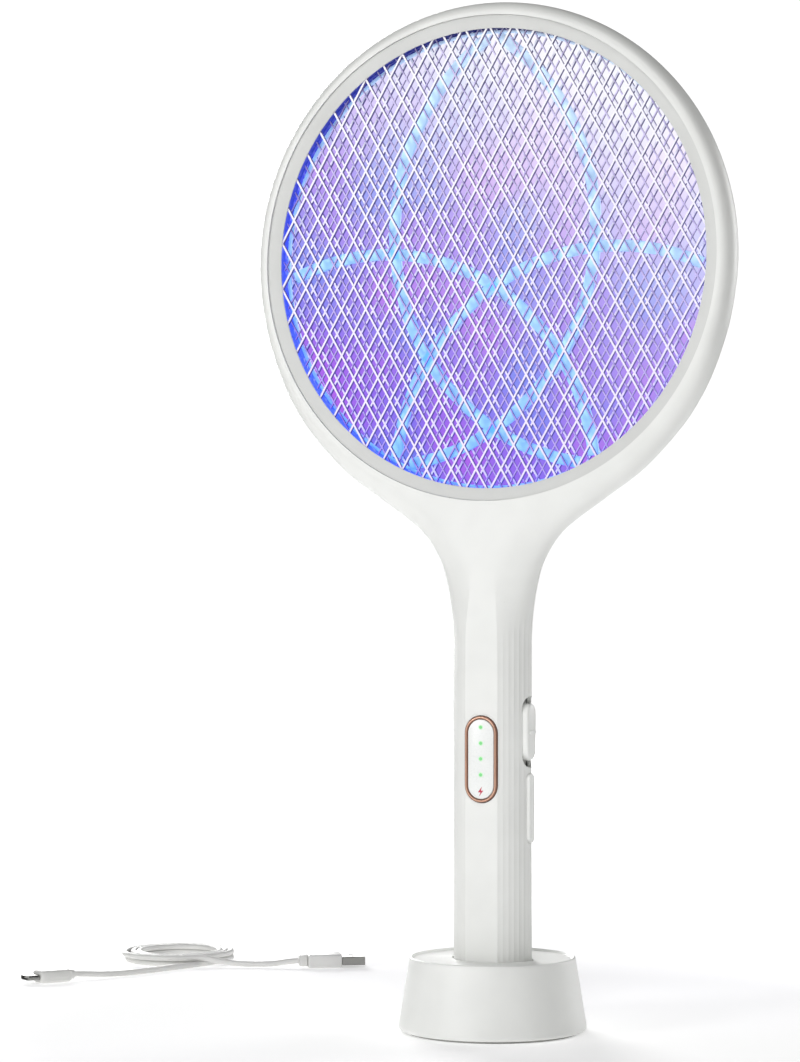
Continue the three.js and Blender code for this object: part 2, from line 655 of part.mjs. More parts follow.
// A bar along X with cut corners.
function chamferedBar(width, height, cut, from, to) {
  const shape = new THREE.Shape();
  const [w, h] = [width / 2, height / 2];
  const corners = [
    [w - cut, -h], [w, cut - h], [w, h - cut], [w - cut, h],
    [cut - w, h], [-w, h - cut], [-w, cut - h], [cut - w, -h],
  ];
  corners.forEach(([x, y], i) => (i ? shape.lineTo(x, y) : shape.moveTo(x, y)));
  const bar = new THREE.ExtrudeGeometry(shape, { depth: to - from, bevelEnabled: false });
  return solid(bar.rotateX(rad(90)).rotateZ(rad(90)).translate(from, 0, 0));
}

function makeCable() {
  const cable = new THREE.Group();
  cable.rotation.z = rad(CABLE_TURN);
  model.add(cable);

  const coil = ringOnZ(COIL.inner - 1.6, COIL.outer + 1.6, 0, COIL.height, 28);
  add("cable_coil", coil, white, cable).position.set(COIL.x, COIL.y, 0);
  add("cable_run_c", tube(RUN_C, CABLE_D / 2, CABLE_SIDES, 7), white, cable);
  add("cable_run_a", tube(RUN_A, CABLE_D / 2, CABLE_SIDES, 7), white, cable);

  const plugC = plugGroup(PLUG_C, cable);
  add("usb_c_collar", rod(2.3, [GAP, 0, 0], [3, 0, 0], 10), white, plugC);
  add("usb_c_body", chamferedBar(11.6, 6.3, 1.8, 3.3, 20.5), white, plugC);
  const tip = flatBar(8.3, 2.5, 20.8, 27.4);
  add("usb_c_tip", tip.subtract(flatBar(7.5, 1.7, 22, 29)), steel, plugC);

  const plugA = plugGroup(PLUG_A, cable);
  add("usb_a_collar", chamferedBar(5.8, 5.6, 1, GAP, 4.4), white, plugA);
  add("usb_a_body", chamferedBar(13.6, 6.9, 1.2, 4.7, 22), white, plugA);
  const shellA = box([22.3, -6, -2.25], [34, 6, 2.25]);
  const mouth = box([24, -5.6, -0.5], [35, 5.6, 1.85]);
  const windows = [-2.8, 2.8].map((y) => box([26.5, y - 1.1, 1], [28.9, y + 1.1, 3]));
  add("usb_a_shell", shellA.subtract(union([mouth, ...windows])), steel, plugA);
}

// ---------------------------------------------------------------- assembly
makeDockShell();
makeDockSocket();
makeDockBase();
makeDockElectronics();
makeEndCap();
makeShells();
makeHead();
makeLampBoard();
makePanel();
makeSlideSwitch();
makeZapButton();
makeElectronics();
makeLeads();
makeCable();

export default model;
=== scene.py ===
"""Looks of the cordless electric fly swatter in its charging dock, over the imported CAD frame.

Lengths in this file are millimetres in the row frame until a mesh is made. The front faces -Y.
"""

import json
import math

import bmesh
import bpy
import numpy as np
from mathutils import Matrix, Vector


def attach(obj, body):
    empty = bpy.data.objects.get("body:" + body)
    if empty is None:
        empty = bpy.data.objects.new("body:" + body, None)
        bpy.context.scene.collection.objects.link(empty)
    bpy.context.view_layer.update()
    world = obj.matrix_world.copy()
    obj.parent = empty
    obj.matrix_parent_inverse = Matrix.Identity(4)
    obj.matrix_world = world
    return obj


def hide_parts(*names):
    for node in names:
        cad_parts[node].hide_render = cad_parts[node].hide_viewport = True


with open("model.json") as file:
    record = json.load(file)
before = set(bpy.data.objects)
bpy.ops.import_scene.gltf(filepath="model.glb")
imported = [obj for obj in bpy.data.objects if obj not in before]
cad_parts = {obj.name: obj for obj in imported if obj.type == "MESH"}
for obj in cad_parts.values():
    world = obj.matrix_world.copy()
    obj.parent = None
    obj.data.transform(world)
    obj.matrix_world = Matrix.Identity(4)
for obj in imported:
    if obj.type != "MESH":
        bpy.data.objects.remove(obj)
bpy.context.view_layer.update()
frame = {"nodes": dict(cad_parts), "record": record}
NODES = frame["nodes"]
MM = 0.001

# ---------------------------------------------------------------- dimensions, as in the CAD source
HEAD_Z = 345.2
HEAD_R = 114.7
HEAD_HALF = 8.6
OPENING_R = 102.6
RIM_R = 108.3  # of the hole in the shells that holds the bezels
FRAME_IN_R = 103.2
FRAME_R = 106.8
LIGHT_RING_R = 105.4
GRID_Y = 4
GRID_THICK = 1.6
CHARGED_THICK = 0.9
WIRE_PITCH = 10.44  # between neighbouring wires, square across them
WIRE_SLOPE = 60  # degrees
WIRE = 0.85
CHARGED_WIRE = 0.6
RIB_WIDTH = 5.2
RIB_LOW = 0.8
RIB_HIGH = 2.9

GRIP_A = 18.9
GRIP_B = 13.1
FLAT_HALF = 7.7  # half the width of the handle's flat front
SIDE_ARC_R = 23
FLUTE = 0.0045  # hollow of each facet, as a share of the section
GRIP_BOTTOM = 12
WALL = 1.8
SEAM = 0.07  # half the gap between the two shells
NECK = [
    (18.9, 175), (19.5, 186), (21.4, 199), (25.1, 211), (34.4, 224), (53, 237.4), (71.8, 250.8),
    (89, 268.7), (98.1, 282), (103.6, 293), (107.9, 304.5), (111, 315), (113.3, 327),
]
HANDLE_ROWS = [20, 40, 60, 80, 100, 120, 140, 155]  # heights of the sections along the straight handle
NECK_ROWS_FROM = 162
NECK_ROW_STEP = 1.6
GRIP_BLEND = (172, 215)  # heights between which the grip's section turns into the neck's
DEPTH_BLEND = (175, 235)  # between which the body thins to the head's depth
EDGE_BLEND = (180, 226)  # between which its edge takes the head's rounding
EDGE_ROUND = 19
FACETS_END = 166  # on the front; the facets end higher towards the side
FACETS_RISE = 13
FACETS_FADE = 15

SHELL_SCREWS = [  # x, z, back of the head, tip
    (-40, 238, 6.9, -6), (40, 238, 6.9, -6), (-12.5, 194, 8.4, -7.3), (12.5, 194, 8.4, -7.3),
]
BOSS_R = 3.4
SCREW_RECESS_R = 2.9
SCREW_BORE_R = 1.6

PANEL_Z = 122.2
PANEL_LENGTH = 39.4
PANEL_WIDTH = 16.3
PANEL_FIT = 0.4  # by which the panel's hole is smaller than its ring
LED_Z = (14.2, 7.1, 0.2, -6.9)  # above the panel's middle
LED_R = 0.75
HALO_R = 1.15
BOLT_Z = -14.3
SWITCH_Z = 134
SLOT = (32.2, 10.2)  # length and width, as for the knob and the button
KNOB = (25.3, 9.6)
BUTTON_Z = 100.2
BUTTON = (31, 5.8)
BUTTON_FIT = 0.5

DOCK_R = 42
DOCK_FOOT = 1.0  # height of the cover's lower edge, above the rubber ring
DOCK_DECK = 32.4
SOCKET_CLEARANCE = 0.9
PORT_Z = 13.7

CABLE_TURN = 22.5  # degrees
CABLE_D = 3
COIL = (-164, 250)  # middle of the coil
COIL_R = 27
COIL_END = 2113  # degrees wound
COIL_START = -43
RUN_C = [  # from the USB-C plug to the coil
    (-209, 168, 3.2), (-202.4, 172.4, 2.6), (-195, 177.4, 1.9), (-187, 183.4, 1.6), (-178.6, 190.8, 1.6),
    (-170.4, 199.6, 1.6), (-162.4, 208.6, 1.6), (-154.6, 217.8, 1.6), (-149.4, 224.6, 1.6),
]
RUN_A = [  # from the coil to the USB-A plug
    (-157.6, 220.9, 4.75), (-151, 222.3, 4.75), (-145.6, 222.8, 4.0), (-141, 222.6, 3), (-132, 221.8, 2),
    (-123, 221, 1.7), (-114, 220.8, 2), (-106, 221.4, 2.9), (-100, 222.4, 3.5),
]
PLUG_C = (-209, 168, 3.2, 214)  # place of the cable's end, and heading in degrees
PLUG_A = (-100, 222.4, 3.5, 9)


# ---------------------------------------------------------------- small helpers
def smoothstep(value, low, high):
    t = np.clip((value - low) / (high - low), 0, 1)
    return t * t * (3 - 2 * t)


def srgb(red, green, blue):
    """Linear colour from 0-255 display values."""
    linear = [c / 3294.6 if c <= 10 else ((c / 255 + 0.055) / 1.055) ** 2.4 for c in (red, green, blue)]
    return (*linear, 1)


def mesh_of(name, points, faces, weld=True):
    """Mesh in metres from points in millimetres, its faces turned outwards."""
    mesh = bpy.data.meshes.new(name)
    mesh.from_pydata([tuple(float(c) * MM for c in p) for p in points], [], faces)
    bm = bmesh.new()
    bm.from_mesh(mesh)
    if weld:
        bmesh.ops.remove_doubles(bm, verts=bm.verts, dist=2e-7)
        bmesh.ops.dissolve_degenerate(bm, edges=bm.edges, dist=1e-7)
    bmesh.ops.recalc_face_normals(bm, faces=bm.faces)
    bm.to_mesh(mesh)
    bm.free()
    return mesh


def grid_faces(rows, columns, wrap=False, start=0):
    """Quads over a grid of points stored row by row."""
    faces = []
    for i in range(rows - 1):
        for j in range(columns if wrap else columns - 1):
            a, b = start + i * columns + j, start + i * columns + (j + 1) % columns
            faces.append((a, b, b + columns, a + columns))
    return faces


def piece(name, mesh, materials, body, replaces=(), angle=30):
    """A visible piece on a body, smooth up to an angle in degrees."""
    obj = bpy.data.objects.new(name, mesh)
    bpy.context.scene.collection.objects.link(obj)
    mesh.materials.clear()
    for material in materials if isinstance(materials, (list, tuple)) else [materials]:
        mesh.materials.append(material)
    mesh.shade_smooth()
    mesh.set_sharp_from_angle(angle=math.radians(angle))
    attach(obj, body)
    if replaces:
        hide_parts(*replaces)
    return obj


def temp(mesh):
    obj = bpy.data.objects.new("cutter", mesh)
    bpy.context.scene.collection.objects.link(obj)
    return obj


def combine(mesh, other, operation):
    """Boolean of two closed meshes; both inputs are used up."""
    a, b = temp(mesh), temp(other)
    modifier = a.modifiers.new("combine", "BOOLEAN")
    modifier.operation, modifier.solver, modifier.object = operation, "MANIFOLD", b
    made = bpy.data.meshes.new_from_object(a.evaluated_get(bpy.context.evaluated_depsgraph_get()))
    for obj in (a, b):
        bpy.data.objects.remove(obj)
    return made


def joined(meshes):
    """All the meshes in one, without a boolean."""
    bm = bmesh.new()
    for mesh in meshes:
        bm.from_mesh(mesh)
    made = bpy.data.meshes.new("joined")
    bm.to_mesh(made)
    bm.free()
    return made


def moved(mesh, offset, turn=None):
    matrix = Matrix.Translation(Vector(offset) * MM)
    mesh.transform(matrix @ turn if turn else matrix)
    return mesh


def loft(rings, closed=True):
    """Skin over rings with equal numbers of points; closed puts a flat face over each end."""
    columns = len(rings[0])
    points = [p for ring in rings for p in ring]
    faces = grid_faces(len(rings), columns, wrap=True)
    if closed:
        faces.append(tuple(range(columns)))
        faces.append(tuple(range((len(rings) - 1) * columns, len(rings) * columns)))
    return mesh_of("loft", points, faces)


def turned(profile, sides, wrap=False):
    """Solid of revolution about Z from (radius, height) points; wrap joins the last point to the first."""
    if wrap:
        profile = list(profile) + [profile[0]]
    angles = np.linspace(0, 2 * math.pi, sides, endpoint=False)
    points = [(r * math.cos(a), r * math.sin(a), h) for r, h in profile for a in angles]
    return mesh_of("turned", points, grid_faces(len(profile), sides, wrap=True))


ON_HEAD = Matrix.Rotation(math.radians(90), 4, "X")


def turned_head(profile, sides=256, wrap=True):
    """Solid of revolution about the head's axis; heights run forwards, towards -Y, from the head's middle."""
    return moved(turned(profile, sides, wrap), (0, 0, HEAD_Z), ON_HEAD)


def rounded(points, radius, steps=4):
    """A closed outline with its corners rounded."""
    made = []
    count = len(points)
    for i in range(count):
        before, here, after = (np.array(points[(i + k) % count], float) for k in (-1, 0, 1))
        to_before, to_after = before - here, after - here
        reach = min(radius, np.linalg.norm(to_before) / 2, np.linalg.norm(to_after) / 2)
        start = here + to_before / np.linalg.norm(to_before) * reach
        end = here + to_after / np.linalg.norm(to_after) * reach
        for k in range(steps + 1):
            t = k / steps
            made.append(tuple((1 - t) ** 2 * start + 2 * t * (1 - t) * here + t**2 * end))
    return made


def pill_outline(length, width, arcs=20):
    """Upright outline with round ends, in (across, up)."""
    r, straight = width / 2, length / 2 - width / 2
    angles = np.linspace(0, math.pi, arcs + 1)
    top = [(r * math.cos(a), straight + r * math.sin(a)) for a in angles]
    return top + [(-x, -z) for x, z in top]


def pill(length, width, levels, arcs=20):
    """Solid over pill outlines; levels are (inset, depth) from back to front. Axis is -Y, front outwards."""
    rings = []
    for inset, depth in levels:
        outline = pill_outline(length - 2 * inset, width - 2 * inset, arcs)
        rings.append([(x, -depth, z) for x, z in outline])
    return loft(rings)


SIDEWAYS = Matrix.Rotation(math.radians(90), 4, "Z")  # turns -Y into +X


# ---------------------------------------------------------------- materials
def node_material(name):
    """A new material with its nodes, links and shader."""
    material = bpy.data.materials.new(name)
    material.use_nodes = True
    tree = material.node_tree
    return material, tree.nodes, tree.links, tree.nodes["Principled BSDF"]


def noise(nodes, links, scale, detail=2.0):
    coords = nodes.new("ShaderNodeTexCoord")
    made = nodes.new("ShaderNodeTexNoise")
    made.inputs["Scale"].default_value = scale
    made.inputs["Detail"].default_value = detail
    links.new(coords.outputs["Object"], made.inputs["Vector"])
    return made


def ramp(nodes, links, source, stops):
    made = nodes.new("ShaderNodeValToRGB")
    elements = made.color_ramp.elements
    while len(elements) < len(stops):
        elements.new(0.5)
    for element, (position, colour) in zip(elements, stops):
        element.position, element.color = position, colour
    links.new(source, made.inputs["Fac"])
    return made


def finish_material(
    name, colour, roughness, metallic=0.0, shade=0.96, patch=45, grain=1800, bump=0.03, spread=0.05, **sockets
):
    """A surface whose colour and roughness wander a little, with a fine grain."""
    material, nodes, links, shader = node_material(name)
    colour = srgb(*colour)
    darker = tuple(c * shade for c in colour[:3]) + (1,)
    patches = noise(nodes, links, patch)
    tint = ramp(nodes, links, patches.outputs["Fac"], [(0.35, darker), (0.65, colour)])
    links.new(tint.outputs["Color"], shader.inputs["Base Color"])
    fine = noise(nodes, links, grain, detail=1.0)
    level = nodes.new("ShaderNodeMapRange")
    level.inputs["To Min"].default_value = max(0.02, roughness - spread)
    level.inputs["To Max"].default_value = min(1.0, roughness + spread)
    links.new(fine.outputs["Fac"], level.inputs["Value"])
    links.new(level.outputs["Result"], shader.inputs["Roughness"])
    relief = nodes.new("ShaderNodeBump")
    relief.inputs["Strength"].default_value = bump
    relief.inputs["Distance"].default_value = 0.0004
    links.new(fine.outputs["Fac"], relief.inputs["Height"])
    links.new(relief.outputs["Normal"], shader.inputs["Normal"])
    shader.inputs["Metallic"].default_value = metallic
    for key, value in sockets.items():
        shader.inputs[key.replace("_", " ")].default_value = value
    return material


def make_materials():
    """Materials by the name of their slot, or of the part where several share a slot."""
    return {
        "shell_white": finish_material("moulded_white", (240, 241, 238), 0.42),
        "dock_white": finish_material("dock_white", (240, 241, 238), 0.45),
        "bezel_grey": finish_material("bezel_grey", (226, 227, 224), 0.5),
        "cable_white": finish_material("cable_jacket", (222, 222, 219), 0.5, grain=900),
        "trim_rose_gold": finish_material("rose_gold", (226, 182, 158), 0.3, 0.35, grain=3000, bump=0.01),
        # darker copy of the rose gold: painted shade on the ring
        "rose_gold_painted_shade": finish_material(
            "rose_gold_painted_shade", (150, 108, 90), 0.35, 0.3, grain=3000, bump=0.01
        ),
        "indicator_window": finish_material(
            "indicator_window", (244, 246, 244), 0.28, patch=120, shade=0.98
        ),
        "clear_plastic": finish_material("light_guide", (236, 240, 226), 0.25),
        "steel": finish_material("steel", (165, 165, 163), 0.32, 0.95, grain=2600),
        "plug_metal": finish_material("plug_metal", (150, 150, 147), 0.3, 0.9, grain=2600),
        "contact_gold": finish_material("contact_gold", (222, 184, 104), 0.28, 0.95),
        "circuit_board": finish_material("circuit_board", (44, 104, 66), 0.55, patch=260, shade=0.7),
        "part_black": finish_material("black_plastic", (38, 38, 40), 0.5),
        "cell_wrap": finish_material("cell_wrap", (66, 126, 190), 0.4, patch=90, shade=0.9),
        "transformer": finish_material("transformer", (190, 160, 60), 0.5, patch=300, shade=0.75),
        "capacitor": finish_material("capacitor", (170, 58, 52), 0.35),
        "lead_copper": finish_material("lead", (190, 60, 52), 0.45),
        "uv_lamp": finish_material("uv_lamp", (238, 228, 170), 0.3),
        "foot_rubber": finish_material("foot_rubber", (176, 176, 173), 0.85, grain=1200, bump=0.12),
    }


MATS = make_materials()


def head_level(nodes, links, direction, low, high):
    """0 to 1 along a direction across the head's opening, low and high in opening radii."""
    coords = nodes.new("ShaderNodeTexCoord")
    shift = nodes.new("ShaderNodeVectorMath")
    shift.operation = "SUBTRACT"
    shift.inputs[1].default_value = (0, 0, HEAD_Z * MM)
    links.new(coords.outputs["Object"], shift.inputs[0])
    along = nodes.new("ShaderNodeVectorMath")
    along.operation = "DOT_PRODUCT"
    along.inputs[1].default_value = tuple(c / (OPENING_R * MM) for c in direction)
    links.new(shift.outputs["Vector"], along.inputs[0])
    level = nodes.new("ShaderNodeMapRange")
    level.inputs["From Min"].default_value = low
    level.inputs["From Max"].default_value = high
    links.new(along.outputs["Value"], level.inputs["Value"])
    return level


def painted_glow_material(name, direction, colours, strength):
    """Plastic or paint with painted violet light and shade: its colour and glow change along a direction
    across the head.
    """
    material, nodes, links, shader = node_material(name)
    level = head_level(nodes, links, direction, -1, 1)
    stops = [(i / (len(colours) - 1), srgb(*colour)) for i, colour in enumerate(colours)]
    tint = ramp(nodes, links, level.outputs["Result"], stops)
    links.new(tint.outputs["Color"], shader.inputs["Base Color"])
    links.new(tint.outputs["Color"], shader.inputs["Emission Color"])
    shader.inputs["Emission Strength"].default_value = strength
    shader.inputs["Roughness"].default_value = 0.4
    return material


# Painted violet light and shade on wires, ribs and the light ring, none of which is a lamp: glow and colour
# graded across the head, darkest on the light ring's top.
PAINTED_VIOLET_LIGHT = {  # direction across the head, colours along it, strength of the glow
    "grid_wire": ((0, 0, 1), [(232, 222, 252), (246, 246, 250)], 0.12),
    "charged_wire": ((0.3, 0, 0.95), [(180, 156, 236), (216, 208, 240)], 0.1),
    # sides of the wires: painted shade in dark violet
    "wire_painted_shade": ((0.4, 0, 0.9), [(76, 66, 160), (84, 76, 140), (96, 90, 128)], 0.12),
    "rib_blue": ((0.45, 0, 0.9), [(132, 198, 252), (170, 218, 254), (206, 228, 250)], 0.35),
    "light_ring": ((0.2, 0, 0.95), [(92, 126, 250), (70, 84, 215), (22, 20, 80)], 0.5),
}
MATS.update({key: painted_glow_material(key, *values) for key, values in PAINTED_VIOLET_LIGHT.items()})


def glow_material():
    """Violet light behind the grids: strongest low and left, nearly gone at the upper right."""
    material = bpy.data.materials.new("violet_glow")
    material.use_nodes = True
    nodes, links = material.node_tree.nodes, material.node_tree.links
    nodes.clear()
    output = nodes.new("ShaderNodeOutputMaterial")
    mix = nodes.new("ShaderNodeMixShader")
    clear = nodes.new("ShaderNodeBsdfTransparent")
    light = nodes.new("ShaderNodeEmission")
    patches = noise(nodes, links, 22, detail=1.5)
    hues = [(0.36, srgb(108, 118, 240)), (0.5, srgb(142, 100, 238)), (0.64, srgb(172, 92, 236))]
    tint = ramp(nodes, links, patches.outputs["Fac"], hues)
    links.new(tint.outputs["Color"], light.inputs["Color"])
    level = head_level(nodes, links, (0.42, 0, 0.9), -0.75, 0.85)
    shares = [(0.0, (0.96,) * 4), (0.5, (0.76,) * 4), (1.0, (0.14,) * 4)]
    amount = ramp(nodes, links, level.outputs["Result"], shares)
    links.new(amount.outputs["Color"], mix.inputs["Fac"])
    links.new(clear.outputs["BSDF"], mix.inputs[1])
    links.new(light.outputs["Emission"], mix.inputs[2])
    links.new(mix.outputs["Shader"], output.inputs["Surface"])
    return material


# ---------------------------------------------------------------- swatter shells
def catmull(points, steps=24):
    """Points along a smooth curve through the given ones."""
    points = [np.array(p, float) for p in points]
    ends = [2 * points[0] - points[1]] + points + [2 * points[-1] - points[-2]]
    made = []
    for a, b, c, d in zip(ends, ends[1:], ends[2:], ends[3:]):
        linear, square, cubic = c - a, 2 * a - 5 * b + 4 * c - d, 3 * b - 3 * c + d - a
        for t in np.linspace(0, 1, steps, endpoint=False):
            made.append(0.5 * (2 * b + linear * t + square * t**2 + cubic * t**3))
    return np.array(made + [points[-1]])


NECK_CURVE = catmull(NECK)
FACET_EDGES = [0, 13, 24, 35, 46, 57, 68, 79, 90]  # degrees off the front, in one quarter of the section
FACET_STEPS = 4


def half_width(z):
    """Half the width of the swatter's outline at a height."""
    if z <= NECK[0][1]:
        return GRIP_A
    if z <= NECK[-1][1]:
        return float(np.interp(z, NECK_CURVE[:, 1], NECK_CURVE[:, 0]))
    return math.sqrt(max(0, HEAD_R**2 - (z - HEAD_Z) ** 2))


def grip_point(degrees):
    """A point of the handle's section, as shares of its half-width and half-depth."""
    if degrees <= FACET_EDGES[1]:
        return np.array([degrees / FACET_EDGES[1] * FLAT_HALF / GRIP_A, 1.0])
    chord = GRIP_A - FLAT_HALF, GRIP_B
    middle = math.atan2(chord[1], chord[0])
    span = math.asin(math.hypot(*chord) / 2 / SIDE_ARC_R)
    share = (degrees - FACET_EDGES[1]) / (90 - FACET_EDGES[1])
    turn, start = middle + span * (2 * share - 1), middle - span
    x = FLAT_HALF + SIDE_ARC_R * (math.sin(turn) - math.sin(start))
    y = GRIP_B + SIDE_ARC_R * (math.cos(turn) - math.cos(start))
    return np.array([x / GRIP_A, y / GRIP_B])


def quarter():
    """(degrees off the front, plain oval, grip and hollow facet points), from the front to the side."""
    made = []
    for low, high in zip(FACET_EDGES, FACET_EDGES[1:]):
        a, b = grip_point(low), grip_point(high)
        depth = 0.0 if low == 0 else FLUTE
        for k in range(FACET_STEPS):
            q = k / FACET_STEPS
            degrees = low + (high - low) * q
            facet = (a + (b - a) * q) * (1 - depth * 4 * q * (1 - q))
            plain = (math.sin(math.radians(degrees)), math.cos(math.radians(degrees)))
            made.append((degrees, plain, grip_point(degrees), facet))
    side = np.array([1.0, 0.0])
    return made + [(90, side, side, side)]


QUARTER = quarter()


def section(inner, outer, inset, faceted):
    """Points of the right half, from the front's inner edge over the outside to the rear's inner edge."""
    (x0, z0), (x1, z1) = inner, outer
    length = math.hypot(x1 - x0, z1 - z0)
    z = (z0 + z1) / 2
    half = GRIP_B + (HEAD_HALF - GRIP_B) * smoothstep(z, *DEPTH_BLEND) - inset
    roundness = length + (min(EDGE_ROUND, 0.8 * length) - length) * smoothstep(z, *EDGE_BLEND)
    grip_share = 1 - smoothstep(z, *GRIP_BLEND)
    front = []
    for degrees, plain, grip, facet in QUARTER:
        edge = length * (1 - plain[0]) / roundness
        height = math.sqrt(max(0, 1 - (1 - min(edge, 1)) ** 2)) if degrees < 90 else 0
        fade_from = FACETS_END + FACETS_RISE * math.sin(math.radians(degrees))
        flat = (1 - smoothstep(z, fade_from, fade_from + FACETS_FADE)) if faceted else 0
        low = grip + (facet - grip) * flat
        along = plain[0] + (low[0] - plain[0]) * grip_share
        height += (low[1] - height) * grip_share
        front.append((x0 + (x1 - x0) * along, height * half, z0 + (z1 - z0) * along))
    return [(x, -y, z) for x, y, z in front] + front[-2::-1]


def body_solid(inset=0.0, hole=RIM_R, bottom=GRIP_BOTTOM, faceted=True, head_rows=150):
    """Handle, neck and head as one closed solid with the head's round opening."""
    outer_r = HEAD_R - inset
    top = HEAD_Z - hole
    heights = [bottom, *HANDLE_ROWS, *np.arange(NECK_ROWS_FROM, top - 0.6, NECK_ROW_STEP)]
    rows = [((0, z), (half_width(z) - inset, z)) for z in heights]
    for angle in np.radians(np.linspace(0, 180, head_rows)):
        inner = (hole * math.sin(angle), HEAD_Z - hole * math.cos(angle))
        radial = (outer_r * math.sin(angle), HEAD_Z - outer_r * math.cos(angle))
        level = smoothstep(math.degrees(angle), 0, 70)
        z = inner[1] + (radial[1] - inner[1]) * level
        rows.append((inner, (half_width(z) - inset, z) if z < NECK[-1][1] else radial))
    right = [section(inner, outer, inset, faceted) for inner, outer in rows]
    columns = len(right[0])
    left = [[(-x, y, z) for x, y, z in row] for row in right]
    points = [p for row in right + left for p in row]
    count = len(rows)
    faces = grid_faces(count, columns) + grid_faces(count, columns, start=count * columns)
    first_head = count - head_rows
    for side in (0, count * columns):
        for i in range(first_head, count - 1):
            a, b = side + i * columns, side + (i + 1) * columns
            faces.append((a, b, b + columns - 1, a + columns - 1))
    offset = count * columns
    faces.append(tuple(range(columns)) + tuple(offset + j for j in range(columns - 2, 0, -1)))
    return mesh_of("body", points, faces)


def cylinder_y(radius, x, z, front, back):
    """Cylinder along Y between two depths."""
    profile = [(0, 0), (radius, 0), (radius, back - front), (0, back - front)]
    return moved(turned(profile, 32), (x, back, z), ON_HEAD)


def box_mesh(low, high):
    (x0, y0, z0), (x1, y1, z1) = low, high
    points = [(x, y, z) for x in (x0, x1) for y in (y0, y1) for z in (z0, z1)]
    faces = [(0, 1, 3, 2), (4, 6, 7, 5), (0, 4, 5, 1), (2, 3, 7, 6), (0, 2, 6, 4), (1, 5, 7, 3)]
    return mesh_of("box", points, faces)


def side_pill(length, width, levels, z):
    """Pill whose front faces +X; levels are (inset, x)."""
    return moved(pill(length, width, levels), (0, 0, z), SIDEWAYS)


def make_shells():
    """Hollow body with its screw posts and holes, cut in two along the seam."""
    outside = body_solid()
    cavity = body_solid(WALL, RIM_R - 3, GRIP_BOTTOM - 5, False, 100)
    bosses = joined([cylinder_y(BOSS_R, x, z, -14, 15) for x, z, _, _ in SHELL_SCREWS])
    bosses = combine(bosses, outside.copy(), "INTERSECT")
    body = combine(combine(outside, cavity, "DIFFERENCE"), bosses, "UNION")
    panel = pill(PANEL_LENGTH - PANEL_FIT, PANEL_WIDTH - PANEL_FIT, [(0, 8), (0, 20)])
    panel = moved(panel, (0, 0, PANEL_Z))
    through = [(0, 12), (0, 25)]
    slot = side_pill(*SLOT, through, SWITCH_Z)
    button = side_pill(BUTTON[0] + BUTTON_FIT, BUTTON[1] + BUTTON_FIT, through, BUTTON_Z)
    recesses = [cylinder_y(SCREW_RECESS_R, x, z, back - 2, 20) for x, z, back, _ in SHELL_SCREWS]
    cutters = joined([panel, slot, button] + recesses)
    body = combine(body, cutters, "DIFFERENCE")
    bores = [cylinder_y(SCREW_BORE_R, x, z, tip - 0.3, back - 1) for x, z, back, tip in SHELL_SCREWS]
    body = combine(body, joined(bores), "DIFFERENCE")
    front = combine(body.copy(), box_mesh((-130, -SEAM, 0), (130, 60, 480)), "DIFFERENCE")
    rear = combine(body, box_mesh((-130, -60, 0), (130, SEAM, 480)), "DIFFERENCE")
    piece("swatter_front", front, MATS["shell_white"], "swatter", ["front_shell"], 9)
    piece("swatter_rear", rear, MATS["shell_white"], "swatter", ["rear_shell"], 9)


# ---------------------------------------------------------------- head
def grid_mesh(y, thick, width, stagger):
    """One layer of crossed flat wires with its frame; stagger moves the lattice sideways."""
    points, faces = [], []
    reach = (FRAME_IN_R + 1.2) ** 2
    for side in (-1, 1):
        slope = math.radians(side * WIRE_SLOPE)
        along = np.array([math.cos(slope), math.sin(slope)])
        across = np.array([-math.sin(slope), math.cos(slope)])
        front = y - thick / 2 + 0.02 * side  # the two families' faces lie a hair apart
        for k in range(-12, 13):
            offset = across[0] * stagger + k * WIRE_PITCH
            if offset**2 > (FRAME_IN_R - 1) ** 2:
                continue
            half = math.sqrt(reach - offset**2)
            for end in (-half, half):
                for edge, depth in ((-1, 0), (1, 0), (1, thick), (-1, thick)):
                    x, z = along * end + across * (offset + edge * width / 2)
                    points.append((x, front + depth, HEAD_Z + z))
            base = len(points) - 8
            faces += grid_faces(2, 4, wrap=True, start=base)
            faces += [tuple(base + i for i in range(4)), tuple(base + 4 + i for i in range(4))]
    wires = mesh_of("wires", points, faces, weld=False)
    low, high = -thick / 2, thick / 2
    edge = rounded([(FRAME_IN_R, low), (FRAME_R, low), (FRAME_R, high), (FRAME_IN_R, high)], 0.2, 2)
    return joined([wires, moved(turned_head(edge, 160), (0, y, 0))])


def make_grids():
    """Three layers; the middle one's wires stand between those of the outer ones."""
    half_diamond = WIRE_PITCH / 2 / math.sin(math.radians(WIRE_SLOPE))
    layers = [
        ("front_grid", -GRID_Y, GRID_THICK, WIRE, 0, "grid_wire"),
        ("charged_grid", 0, CHARGED_THICK, CHARGED_WIRE, half_diamond, "charged_wire"),
        ("rear_grid", GRID_Y, GRID_THICK, WIRE, 0, "grid_wire"),
    ]
    for name, y, thick, width, stagger, face_material in layers:
        mesh = grid_mesh(y, thick, width, stagger)
        materials = [MATS[face_material], MATS["wire_painted_shade"], MATS["light_ring"]]
        obj = piece(f"{name}_wires", mesh, materials, "swatter", [name], 20)
        for face in obj.data.polygons:
            x, _, z = face.center / MM
            on_frame = math.hypot(x, z - HEAD_Z) > FRAME_IN_R - 0.2
            # front faces take the wire colour, side faces the painted shade, the frame's inner faces the
            # light ring's painted glow and shade
            face.material_index = 2 if on_frame else 0 if abs(face.normal.y) > 0.7 else 1


